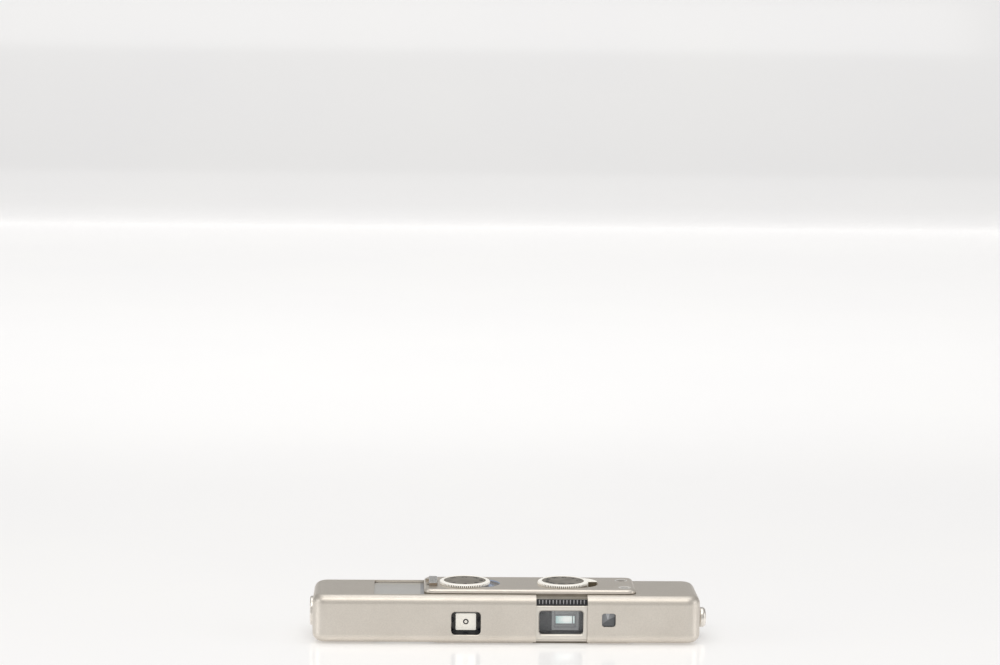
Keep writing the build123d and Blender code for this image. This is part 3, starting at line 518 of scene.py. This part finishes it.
# ---------------------------------------- ribs above the finder
strip_low, strip_high = box_mm("ribbed_strip")
RIB_FIRST = 9.46
RIB_PITCH = 1.11
RIB_COUNT = 14
rib_profile = [(0, 13.2), (0.08, 13.22), (0.15, 13.8), (0.2, 14.4), (0.14, 14.56), (0, 14.58)]
ribs = [lathe(RIB_FIRST + RIB_PITCH * rib, strip_low[1] + 0.02, rib_profile, 16) for rib in range(RIB_COUNT)]
verts, faces = merged(ribs)
add_piece("rib_pins", verts, faces, STEEL, "chassis")

# ---------------------------------------- inside the finder
mask_low, mask_high = box_mm("finder_mask")
# Three greys for the layers inside the finder, lightest on the nearest baffles; the glows given to them
# further down are painted light.
TUNNEL = plain("tunnel_paint_and_glow", (0.135, 0.14, 0.145), (0.125, 0.13, 0.135), 0.5, 900.0, 1e-7)
STEP = plain("step_paint_and_glow", (0.24, 0.245, 0.25), (0.20, 0.205, 0.21), 0.4, 900.0, 1e-7)
BAFFLE = plain("baffle_paint_and_glow", (0.42, 0.43, 0.435), (0.38, 0.39, 0.395), 0.4, 900.0, 1e-7)


def frame_shape(outer, inner, y0, y1):
    """A rectangular frame: outer and inner are (x0, x1, z0, z1)."""
    loops = []
    for x0, x1, z0, z1 in (outer, inner):
        loops.append([(x0, z0), (x1, z0), (x1, z1), (x0, z1)])
    verts = [(x, y, z) for y in (y0, y1) for loop in loops for x, z in loop]
    faces = []
    for side in range(4):
        after = (side + 1) % 4
        faces.append((side, after, 4 + after, 4 + side))
        faces.append((8 + side, 12 + side, 12 + after, 8 + after))
        faces.append((side, 8 + side, 8 + after, after))
        faces.append((4 + side, 4 + after, 12 + after, 12 + side))
    return verts, faces


OPTIC_FRONT = mask_low[1] - 0.25
TUNNEL_BACK = 9.8
IMAGE_LOW, IMAGE_HIGH = 5.4, 7.85
nodes["finder_mask"].data.materials[0] = TUNNEL
for name, outer, inner, y0, y1, material, softness in (
    (
        "finder_tunnel", (13.75, 23.25, 3.35, 10.85), (14.1, 22.9, 3.7, 10.5),
        mask_high[1] + 0.02, TUNNEL_BACK, TUNNEL, 0,
    ),
    (
        "optic_frame", (13.9, 22.55, 3.2, 11.0), (14.55, 21.85, 4.0, 10.95),
        OPTIC_FRONT, OPTIC_FRONT + 0.2, BAFFLE, 0.06,
    ),
    (
        "optic_block", (14.4, 22.0, 3.9, 10.95), (15.17, 21.24, IMAGE_LOW, IMAGE_HIGH),
        OPTIC_FRONT + 0.1, OPTIC_FRONT + 0.3, STEP, 0.08,
    ),
):
    verts, faces = frame_shape(outer, inner, y0, y1)
    piece = add_piece(name, verts, faces, material, "chassis", smooth=False)
    if softness:
        soften(piece, softness)
for name, spans, material in (
    ("optic_bar", (20.42, 20.74, OPTIC_FRONT + 0.12, OPTIC_FRONT + 0.3, IMAGE_LOW, IMAGE_HIGH), STEP),
    ("optic_ledge", (15.0, 20.9, OPTIC_FRONT + 0.02, OPTIC_FRONT + 0.15, 4.5, 4.72), BAFFLE),
    ("optic_head", (15.0, 21.8, OPTIC_FRONT + 0.02, OPTIC_FRONT + 0.15, 8.5, 10.9), BAFFLE),
):
    add_box(name, spans, material, "chassis")

# Painted light: these materials glow faintly in their own colours, though none is a lamp: the dial rings and
# the release button, the counter ring and its lining, and the layers inside the finder.
glowing(DIAL, 0.2)
glowing(ENAMEL, 0.25)
glowing(TUNNEL, 0.3)
glowing(STEP, 0.65)
glowing(BAFFLE, 0.42)


def add_finder_glow():
    """Painted light: a glowing box stands in for the daylit image in the finder, brightest right of the
    middle, dimmer at its edges.
    """
    material, tree, shader = new_material("painted_finder_glow")
    place = tree.nodes.new("ShaderNodeTexCoord")
    shift = tree.nodes.new("ShaderNodeMapping")
    scale_x, scale_z = 260, 420
    brightest_x, brightest_z = 18.9, 6.7
    shift.inputs["Location"].default_value = (-brightest_x * MM * scale_x, 0, -brightest_z * MM * scale_z)
    shift.inputs["Scale"].default_value = (scale_x, 0, scale_z)
    tree.links.new(place.outputs["Object"], shift.inputs["Vector"])
    glow = tree.nodes.new("ShaderNodeTexGradient")
    glow.gradient_type = "SPHERICAL"
    tree.links.new(shift.outputs["Vector"], glow.inputs["Vector"])
    edge_colour, bright_colour = (0.45, 0.62, 0.61), (0.93, 0.96, 0.93)
    tint = blend_colours(tree, spread(tree, glow.outputs["Fac"], 0, 1, 0.0, 0.8), edge_colour, bright_colour)
    tree.links.new(tint, shader.inputs["Base Color"])
    tree.links.new(tint, shader.inputs["Emission Color"])
    shader.inputs["Emission Strength"].default_value = 0.85
    shader.inputs["Roughness"].default_value = 0.08
    spans = (15.1, 21.3, OPTIC_FRONT + 0.26, OPTIC_FRONT + 0.5, 5.3, 7.95)
    add_box("finder_glow", spans, material, "chassis")


add_finder_glow()

# ---------------------------------------- facets of the light collector, in painted light and shade
prism_low, prism_high = box_mm("light_collector")
prism_middle = (prism_low + prism_high) / 2
PRISM_BACK = prism_high[1] - 0.02
left, right, bottom, top = prism_low[0], prism_high[0], prism_low[2], prism_high[2]
WEDGE_START, WEDGE_END, CREASE_SHARE = 0.24, 0.66, 0.62
wedge_left, wedge_right = left + WEDGE_START * (right - left), left + WEDGE_END * (right - left)
crease = bottom + CREASE_SHARE * (top - bottom)
prism_tip = (prism_middle[0] - 0.15, prism_low[1] + 0.35, prism_middle[2] - 0.25)
prism_core = (prism_middle[0], PRISM_BACK, prism_middle[2])
# Painted light and shade: each facet gets its own grey for how light falls on it, lightest on top and darkest
# at the bottom, and each glows faintly; the sill under the bottom facet takes its painted shade.
FACET_LIGHT_AND_SHADE = {
    "top": (0.58, [(wedge_left, top), (wedge_right, top)]),
    "right": (0.33, [(wedge_right, top), (right, top), (right, crease)]),
    "bottom": (0.19, [(right, crease), (right, bottom), (left, bottom)]),
    "left": (0.32, [(left, bottom), (left, top), (wedge_left, top)]),
}
for facet, (tone, outline) in FACET_LIGHT_AND_SHADE.items():
    verts = [(x, PRISM_BACK, z) for x, z in outline] + [prism_core, prism_tip]
    core, tip = len(outline), len(outline) + 1
    faces = [(core, 0, tip), (core - 1, core, tip)]
    for edge in range(len(outline) - 1):
        faces += [(edge, edge + 1, tip), (edge + 1, edge, core)]
    light = (tone, tone * 1.02, tone * 1.05)
    dark = tuple(0.7 * shade for shade in light)
    # Each facet's material holds its painted tone of light or shade and a painted glow.
    smoked = plain(f"smoked_{facet}", light, dark, 0.25, 1500.0, 1e-6, coat=0.3)
    lit(smoked, light, 0.42)
    wedge = add_piece(f"collector_{facet}", verts, faces, smoked, "chassis", smooth=False)
    if facet == "top":
        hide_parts("light_collector")
    if facet == "bottom":
        spans = (left, right, prism_low[1] + 0.02, PRISM_BACK, bottom - 0.02, bottom + 0.05)
        add_box("collector_sill", spans, smoked, "chassis")


def rim_loop(middle_x, middle_z, half_x, half_z, corner, y, steps=6):
    """A rounded rectangle of points across Y."""
    points = []
    for quarter, (side_x, side_z) in enumerate(((1, 1), (-1, 1), (-1, -1), (1, -1))):
        for step in range(steps + 1):
            turn = math.pi / 2 * (quarter + step / steps)
            points.append((
                middle_x + side_x * (half_x - corner) + corner * math.cos(turn),
                y,
                middle_z + side_z * (half_z - corner) + corner * math.sin(turn),
            ))
    return points


def window_rim(
    name, middle_x, middle_z, half_x, half_z, corner, front, back, width, material, body
):
    """A thin bevelled lip around a window: wide at the front, tapering inwards to the back."""
    loops = [
        rim_loop(middle_x, middle_z, half_x + width, half_z + width, corner + width, front + 0.02),
        rim_loop(middle_x, middle_z, half_x + width * 0.6, half_z + width * 0.6, corner + width * 0.6, front),
        rim_loop(middle_x, middle_z, half_x, half_z, corner, front + width * 0.8),
        rim_loop(middle_x, middle_z, half_x, half_z, corner, back),
        rim_loop(middle_x, middle_z, half_x + width, half_z + width, corner + width, back),
    ]
    verts, faces = skin(loops)
    add_piece(name, verts, faces, material, body)


# ---------------------------------------- bright rim metals, a painted highlight and the meter window's lip
METER_X, _, METER_Z = middle("light_collector")
BODY_FRONT = box_mm("end_cap")[0][1]
# Painted highlight: a bright line for the lit top edge of the ribbed strip.
STRIP_HIGHLIGHT = metal("strip_painted_highlight", (0.80, 0.78, 0.72), (0.74, 0.72, 0.66), 0.35, 3500.0, 1e-6, metallic=0.3)
RIM = metal("rim_metal", (0.95, 0.93, 0.89), (0.91, 0.89, 0.85), 0.3, 3500.0, 1e-6, metallic=0.3)
LIP = metal("lip_metal", (0.60, 0.585, 0.54), (0.56, 0.545, 0.50), 0.35, 3500.0, 1e-6)
window_rim(
    "meter_lip", METER_X, METER_Z, 2.13, 2.12, 0.80, BODY_FRONT + 0.005, BODY_FRONT + 0.6, 0.2,
    LIP, "chassis",
)

# ---------------------------------------- slider
slider_low, slider_high = box_mm("filter_slider")
PLATE_TOP = box_mm("top_plate")[1][2]
SLIDER_BOTTOM = PLATE_TOP - 0.68
SLIDER = plain("slider_metal", (0.46, 0.455, 0.44), (0.42, 0.415, 0.40), 0.25, 2500.0, 2e-7, metallic=0.6)
spans = (slider_low[0], slider_high[0], slider_low[1], slider_high[1], SLIDER_BOTTOM, slider_high[2])
block = soften(add_box("slider_block", spans, SLIDER, "slider", smooth=True), 0.16, 3)
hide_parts("filter_slider")
slider_x = (slider_low[0] + slider_high[0]) / 2
spans = (slider_x - 0.7, slider_x + 0.1, 0.8, 1.6, slider_low[2], SLIDER_BOTTOM + 0.1)
add_box("slider_stem", spans, STEEL, "slider")
# Painted shade: a brown front face for the slider, darker than its top, where the face lies in shade.
SLIDER_FACE_SHADE = metal("shaded_face", (0.36, 0.29, 0.225), (0.30, 0.24, 0.185), 0.3, 3500.0, 1e-6, metallic=0.6)
spans = (
    slider_low[0] + 0.12, slider_high[0] - 0.12, slider_low[1] - 0.02, slider_low[1] + 0.1,
    PLATE_TOP + 0.06, slider_high[2] - 0.2,
)
add_box("slider_face", spans, SLIDER_FACE_SHADE, "slider")

# ---------------------------------------- painted shade in the gaps round the plates
# Painted shade: a dark brown with almost no gloss for floors and faces that lie in shadow.
RECESS_SHADE = plain("painted_recess_shade", (0.21, 0.175, 0.12), (0.17, 0.14, 0.095), 0.8, 2000.0, 1e-6)
principled(RECESS_SHADE).inputs["Specular IOR Level"].default_value = 0.05
GAP = plain("gap_shade", (0.23, 0.20, 0.155), (0.18, 0.155, 0.12), 0.5, 2000.0, 1e-6)


def gap_band(name, node, corner, z0, z1):
    """A thin dark band of painted shade that goes round a plate's foot."""
    low, high = box_mm(node)
    mid_x, half_x, half_y = (low[0] + high[0]) / 2, (high[0] - low[0]) / 2, (high[1] - low[1]) / 2
    loops = []
    for z, grow in ((z0, 0.03), (z1, 0.03), (z1, -0.2), (z0, -0.2)):
        flat = rim_loop(mid_x, 0, half_x + grow, half_y + grow, corner + grow, z)
        loops.append([(x, y, height) for x, height, y in flat])
    verts, faces = skin(loops)
    add_piece(name, verts, faces, GAP, "chassis")


BODY_TOP = box_mm("end_cap")[1][2]
PLATE_CORNER = 2.8
gap_band("plate_gap", "top_plate", PLATE_CORNER, BODY_TOP - 0.7, BODY_TOP + 0.3)
gap_band("base_gap", "bottom_plate", PLATE_CORNER, 0.36, 0.62)
frame_low, frame_high = box_mm("finder_frame")
base_low = box_mm("bottom_plate")[0][1]
cover_top = box_mm("inner_cover")[1][2]
plate_left = box_mm("top_plate")[0][0]
strip_left, strip_right = strip_low[0] + 0.1, strip_high[0] - 0.1
for name, spans, material, slot_name in (
    ("base_shade", (frame_low[0], frame_high[0], base_low - 0.04, base_low + 0.1, 0.06, 0.5),
     GAP, "plate_metal"),
    # Painted highlight along the top edge of the ribbed strip.
    ("strip_highlight_line", (strip_left, strip_right, strip_low[1] + 0.32, strip_low[1] + 0.5,
                    strip_high[2] - 0.04, strip_high[2] + 0.12), STRIP_HIGHLIGHT, "steel"),
    ("strip_shade", (strip_left, strip_right, strip_low[1] + 0.55, base_low + 0.05,
                     strip_high[2] - 0.04, strip_high[2] + 0.25), RECESS_SHADE, "steel"),
    # A darker band on the cover beside the plate's left end: painted shade where the plate shadows the cover.
    ("cover_shade_band", (plate_left - 1.2, plate_left + 0.3, base_low + 0.1, -base_low - 0.1,
                   cover_top - 0.05, cover_top + 0.04), STEEL, "cover_metal"),
):
    add_box(name, spans, material, "chassis")

# ---------------------------------------- lips of the two dishes
for lip_name, node in (("check_lip", "check_button"), ("lamp_lip", "battery_lamp")):
    lip_x, lip_y, _ = middle(node)
    lip_profile = [
        (1.70, PLATE_TOP - 0.3),
        (1.78, PLATE_TOP - 0.3),
        (2.02, PLATE_TOP - 0.02),
        (2.0, PLATE_TOP + 0.035),
        (1.86, PLATE_TOP + 0.06),
        (1.74, PLATE_TOP + 0.02),
        (1.70, PLATE_TOP - 0.3),
    ]
    verts, faces = lathe(lip_x, lip_y, lip_profile, 64)
    add_piece(lip_name, verts, faces, RIM, "chassis")

# ---------------------------------------- shade on the release and on the floor in front of it
button_low, button_high = box_mm("release_button")
spans = (
    button_high[0] - 7.0, button_high[0] + 0.4, -6.8, button_low[1] - 0.04,
    cover_top - 0.05, cover_top + 0.04,
)
add_box("release_floor_shade", spans, RECESS_SHADE, "chassis")
button_corners = (vertex.co / MM for vertex in nodes["release_button"].data.vertices)
front_x = [x for x, y, _ in button_corners if y < button_low[1] + 0.05]
spans = (
    min(front_x) + 0.05, max(front_x) - 0.05, button_low[1] - 0.02, button_low[1] + 0.1,
    cover_top + 0.8, button_high[2] - 0.3,
)
add_box("release_shade", spans, RECESS_SHADE, "release")

# ---------------------------------------- frame counter: marks, pointer and window lining
COUNTER_TOP = box_mm("counter_ring")[1][2]
COUNTER_MARKS = 50
MARK_LOW, MARK_HIGH = COUNTER_TOP - 0.02, COUNTER_TOP + 0.015
MARK_OUTER, SHORT_INNER, LONG_INNER = 9.5, 9.15, 8.95
DOT_PLACE, DOT_R = 8.55, 0.26
LINING_IN, LINING_OUT = 6.72, 6.82


def disc(centre_x, centre_y, radius, z0, z1, segments):
    """A flat round disc."""
    return lathe(centre_x, centre_y, [(0, z0), (radius, z0), (radius, z1), (0, z1)], segments)


marks = []
for index in range(COUNTER_MARKS):
    long = index % 5 == 0
    inner = LONG_INNER if long else SHORT_INNER
    shape, faces = box_shape(inner, MARK_OUTER, -0.07, 0.07, MARK_LOW, MARK_HIGH)
    turn = math.radians(360 / COUNTER_MARKS * index)
    place = Matrix.Translation((FOCUS_X, 0, 0)) @ Matrix.Rotation(turn, 4, "Z")
    marks.append(([tuple(place @ Vector(v)) for v in shape], faces))
    if long:
        dot, faces = disc(0, 0, DOT_R, MARK_LOW, MARK_HIGH, 16)
        place = place @ Matrix.Translation((DOT_PLACE, 0, 0))
        marks.append(([tuple(place @ Vector(v)) for v in dot], faces))
verts, faces = merged(marks)
add_piece("counter_marks", verts, faces, INK, "counter", smooth=False)
verts, faces = disc(FOCUS_X + DIAL_R + 0.85, -1.3, 0.8, COUNTER_TOP + 0.03, COUNTER_TOP + 0.06, 32)
add_piece("counter_pointer", verts, faces, INK, "chassis", smooth=False)
CRESCENT_X = FOCUS_X + 4.6
lining_low, lining_high = cover_top + 1.8, PLATE_TOP - 0.08
lining_profile = [
    (LINING_IN, lining_low),
    (LINING_OUT, lining_low),
    (LINING_OUT, lining_high),
    (LINING_IN, lining_high),
    (LINING_IN, lining_low),
]
verts, faces = lathe(CRESCENT_X, 0, lining_profile, 96)
add_piece("counter_lining", verts, faces, ENAMEL, "chassis")


# ---------------------------------------- stage
def area_light(name, place, aim, size, power, colour=(1, 1, 1)):
    """A soft rectangular light that looks at aim."""
    data = bpy.data.lights.new(name, "AREA")
    data.shape = "RECTANGLE"
    data.size, data.size_y = size
    data.energy = power
    data.color = colour
    light = bpy.data.objects.new(name, data)
    light.location = place
    light.rotation_mode = "QUATERNION"
    light.rotation_quaternion = (Vector(aim) - Vector(place)).to_track_quat("-Z", "Y")
    bpy.context.scene.collection.objects.link(light)


def floor():
    """A white table top that runs up into a pale backdrop."""
    mesh = bpy.data.meshes.new("table_top")
    half, back, up, bend = 3.0, 1.6, 0.32, 0.30
    steps = 12
    profile = [(-half, 0.0)]
    for step in range(steps + 1):
        turn = math.pi / 2 * step / steps
        profile.append((back + bend * math.sin(turn), bend * (1 - math.cos(turn))))
    profile.append((back + bend, up))
    verts = [(x, y, z) for y, z in profile for x in (-half, half)]
    faces = [(2 * i, 2 * i + 1, 2 * i + 3, 2 * i + 2) for i in range(len(profile) - 1)]
    mesh.from_pydata(verts, [], faces)
    mesh.polygons.foreach_set("use_smooth", [True] * len(faces))
    material, tree, shader = new_material("white_table")
    cloud = noise(tree, 6.0, 2.0)
    tree.links.new(
        blend_colours(tree, spread(tree, cloud, 0, 1), (0.86, 0.86, 0.87), (0.88, 0.88, 0.88)),
        shader.inputs["Base Color"],
    )
    shader.inputs["Emission Color"].default_value = (1.0, 0.985, 0.97, 1)
    shader.inputs["Emission Strength"].default_value = 0.27
    shader.inputs["Roughness"].default_value = 0.14
    shader.inputs["Specular IOR Level"].default_value = 0.75
    mesh.materials.append(material)
    table_top = bpy.data.objects.new("table_top", mesh)
    bpy.context.scene.collection.objects.link(table_top)


def camera():
    """The camera stands about 0.95 m away, 12 degrees up, tilted up from the object with a slight roll."""
    look = Vector((-0.9, 0.0, 8.5)) * MM
    azimuth, elevation, roll = (math.radians(v) for v in (-1.93, 12.234, 0.657))
    tilt, turn = math.radians(5.432), math.radians(0.171)
    back = Vector((
        math.sin(azimuth) * math.cos(elevation),
        -math.cos(azimuth) * math.cos(elevation),
        math.sin(elevation),
    ))
    ahead = -back
    right = ahead.cross(Vector((0, 0, 1))).normalized()
    up = right.cross(ahead)
    tilted = ahead * math.cos(tilt) + up * math.sin(tilt)
    up = up * math.cos(tilt) - ahead * math.sin(tilt)
    ahead = tilted * math.cos(turn) - right * math.sin(turn)
    right = right * math.cos(turn) + tilted * math.sin(turn)
    rolled_right = right * math.cos(roll) + up * math.sin(roll)
    rolled_up = up * math.cos(roll) - right * math.sin(roll)
    data = bpy.data.cameras.new("camera")
    data.sensor_width = 36.0
    data.lens = 105.06
    data.clip_start = 0.01
    eye = bpy.data.objects.new("camera", data)
    turned = Matrix((rolled_right, rolled_up, -ahead)).transposed()
    eye.matrix_world = Matrix.Translation(look + back * 0.951) @ turned.to_4x4()
    bpy.context.scene.collection.objects.link(eye)
    bpy.context.scene.camera = eye


def light_the_scene():
    """A broad soft key from above and in front, weaker lights round it and a pale sky."""
    world = bpy.data.worlds.new("studio")
    world.use_nodes = True
    world.node_tree.nodes["Background"].inputs["Color"].default_value = (0.99, 0.985, 0.975, 1)
    world.node_tree.nodes["Background"].inputs["Strength"].default_value = 0.40
    bpy.context.scene.world = world
    bpy.context.scene.view_settings.view_transform = "Standard"
    area_light("key", (-0.15, -0.45, 0.90), (0, 0, 0), (1.0, 0.55), 3.3, (1.0, 0.97, 0.93))
    area_light("front", (0.05, -1.15, 0.42), (0, 0, 0.01), (0.9, 0.35), 0.45, (1.0, 0.965, 0.92))
    area_light("top", (0.1, 0.15, 1.05), (0, 0, 0), (1.2, 0.5), 2.2)
    area_light("left", (-1.1, -0.25, 0.35), (0, 0, 0), (0.6, 0.6), 1.6)
    area_light("right", (1.1, -0.25, 0.35), (0, 0, 0), (0.6, 0.6), 1.6)
    area_light("rear", (0.0, 0.9, 1.3), (0, 1.6, 0.0), (1.6, 0.5), 2.6)


camera()
floor()
light_the_scene()
